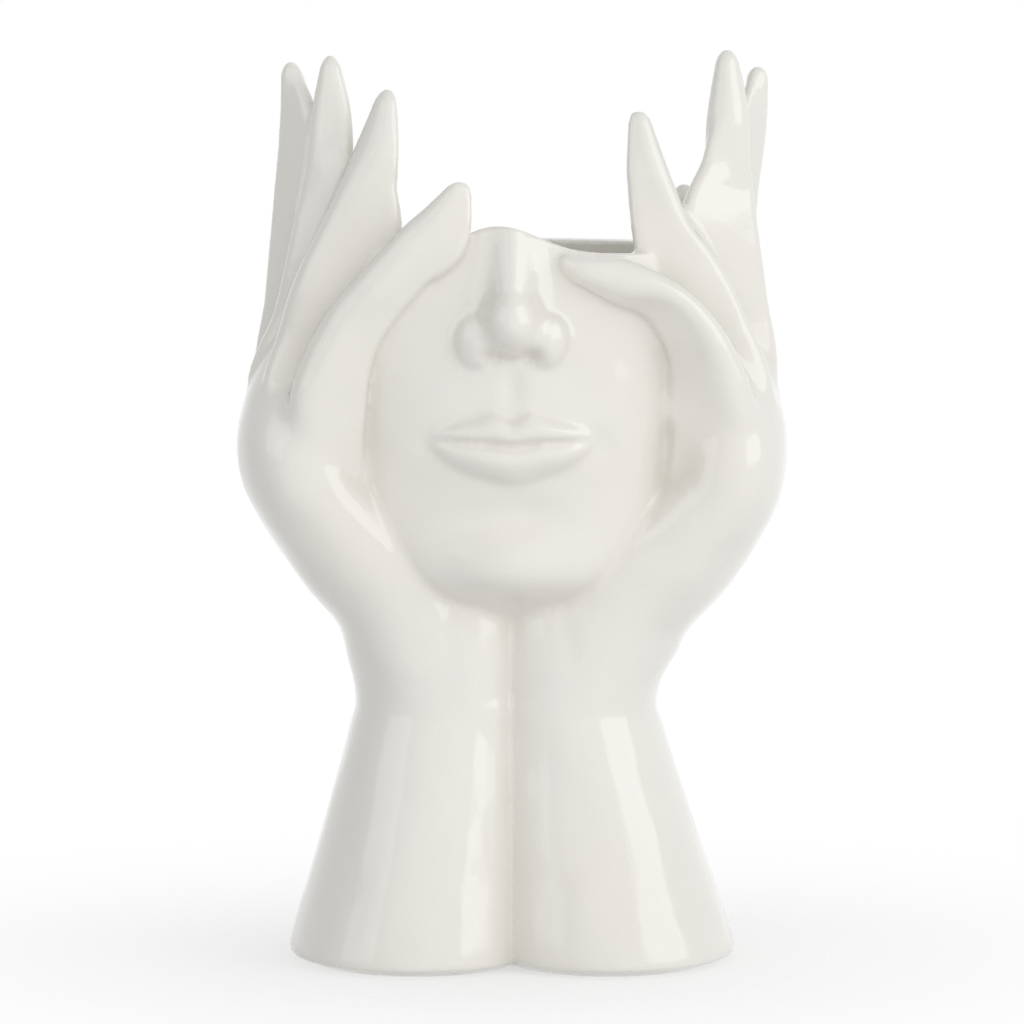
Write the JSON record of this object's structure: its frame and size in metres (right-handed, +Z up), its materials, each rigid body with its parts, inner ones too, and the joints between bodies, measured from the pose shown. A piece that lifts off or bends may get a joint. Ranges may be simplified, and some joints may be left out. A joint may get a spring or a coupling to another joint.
{
  "type": "ceramic vase",
  "caption": "Glazed ceramic flower vase shaped as the lower half of a face cupped by two hands, with the flared forearms as its foot and an open top for stems.",
  "frame": {"origin": "on the table under the middle of the vase, centre of the bounding box's bottom", "axes": "+Z up, the face looks along -Y, +X to the right as seen from the front"},
  "size_m": [0.1752, 0.1126, 0.2904],
  "materials": {
    "glaze": "glossy ivory glaze",
    "bare_clay": "unglazed, matt"
  },
  "bodies": {
    "root": {"face_shell": "glaze", "back_shell": "glaze", "left_forearm": "glaze", "left_foot_plate": "bare_clay", "left_hand": "glaze", "left_little_finger": "glaze", "left_ring_finger": "glaze", "left_middle_finger": "glaze", "left_index_finger": "glaze", "left_thumb": "glaze", "right_forearm": "glaze", "right_foot_plate": "bare_clay", "right_hand": "glaze", "right_little_finger": "glaze", "right_ring_finger": "glaze", "right_middle_finger": "glaze", "right_index_finger": "glaze", "right_thumb": "glaze"}
  },
  "joints": []
}
